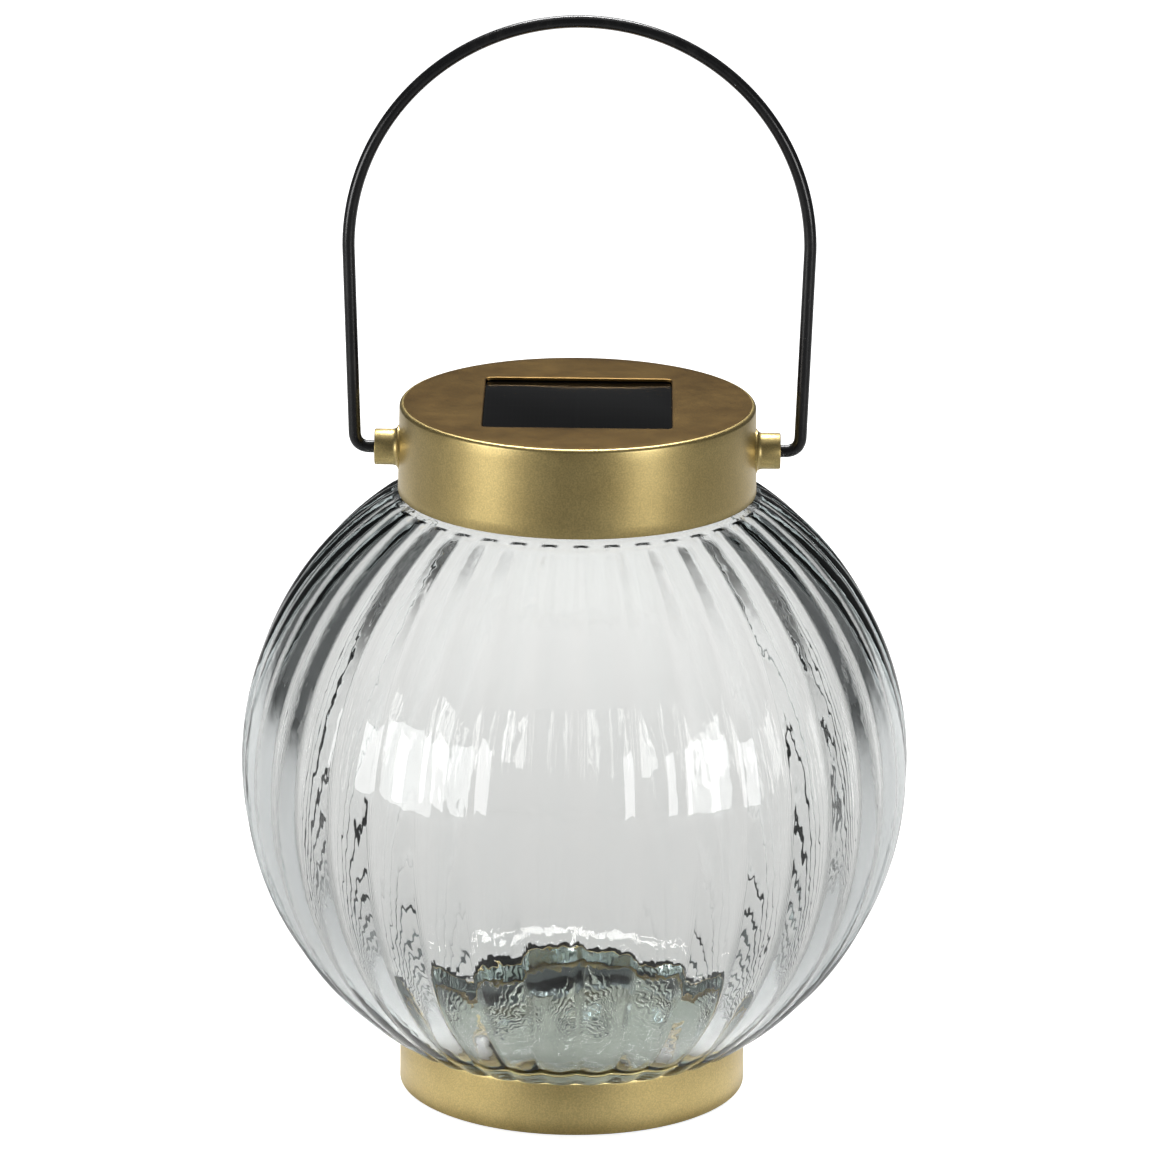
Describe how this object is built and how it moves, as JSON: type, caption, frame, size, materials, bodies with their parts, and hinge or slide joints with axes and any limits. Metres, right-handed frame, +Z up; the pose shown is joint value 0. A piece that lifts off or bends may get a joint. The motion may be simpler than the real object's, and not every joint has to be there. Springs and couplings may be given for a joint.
{
  "type": "solar lantern",
  "caption": "Round fluted-glass solar lantern with a gold base ring, a screw-on gold cap holding the solar panel and lamp, and a black wire bail handle.",
  "frame": {"origin": "centre of the base, on the surface the lantern stands on", "axes": "+Z up along the lantern's axis; +X along the bail's pivot axis; -Y towards the front; the bail stands upright in the XZ plane at rest"},
  "size_m": [0.1508, 0.1508, 0.2483],
  "materials": {
    "brass_finish": "satin gold finish on steel sheet, fine metallic grain",
    "fluted_glass": "clear pressed glass, vertical flutes",
    "black_wire": "satin black coat on steel wire",
    "solar_cell": "near-black cell under clear glossy resin",
    "black_plastic": "moulded, fine matte texture",
    "silicone": "translucent white silicone",
    "foam": "matte black foam",
    "board": "green solder mask",
    "steel": "bright zinc plate",
    "cell_wrap": "shrunk-on sleeve",
    "clear_plastic": "clear moulding",
    "red_lead": "insulation",
    "black_lead": "insulation"
  },
  "bodies": {
    "globe": {"glass_globe": "fluted_glass", "base_ring": "brass_finish", "base_pad": "foam", "foot_pad_1": "foam", "foot_pad_2": "foam", "foot_pad_3": "foam", "foot_pad_4": "foam"},
    "gasket": {"neck_gasket": "silicone"},
    "bail": {"handle_wire": "black_wire"},
    "switch": {"switch_slider": "black_plastic"},
    "battery_door": {"battery_cover": "black_plastic", "battery_cover_screw": "steel"},
    "cap": {"cap_shell": "brass_finish", "handle_boss_left": "brass_finish", "handle_boss_right": "brass_finish", "lid_moulding": "black_plastic", "solar_panel": "solar_cell", "panel_seal": "silicone", "circuit_board": "board", "board_screw_1": "steel", "board_screw_2": "steel", "led": "clear_plastic", "controller_chip": "black_plastic", "inductor": "foam", "switch_body": "steel", "panel_lead_red": "red_lead", "panel_lead_black": "black_lead", "battery_cell": "cell_wrap", "battery_contact_plate": "steel", "battery_contact_spring": "steel", "battery_lead_red": "red_lead", "battery_lead_black": "black_lead", "module_base": "black_plastic", "module_screw_1": "steel", "module_screw_2": "steel", "module_screw_3": "steel", "led_lens": "clear_plastic"}
  },
  "joints": [
    {"name": "cap_rise", "type": "slide", "parent": "globe", "child": "gasket", "axis": [0, 0, 1], "range_m": [0, 0.00801]},
    {"name": "cap_turn", "type": "hinge", "parent": "gasket", "child": "cap", "pos_m": [0, 0, 0.15], "axis": [0, 0, 1], "range_deg": [0, 720]},
    {"name": "bail_swing", "type": "hinge", "parent": "cap", "child": "bail", "pos_m": [0, 0, 0.1493], "axis": [1, 0, 0], "range_deg": [-127, 127]},
    {"name": "switch_slide", "type": "slide", "parent": "cap", "child": "switch", "axis": [1, 0, 0], "range_m": [0, 0.002]},
    {"name": "battery_door_lift", "type": "slide", "parent": "cap", "child": "battery_door", "axis": [0, 0, -1], "range_m": [0, 0.02]}
  ],
  "couplings": [
    {"joint": "cap_rise", "follows": "cap_turn", "m_per_rad": 0.00063662}
  ]
}
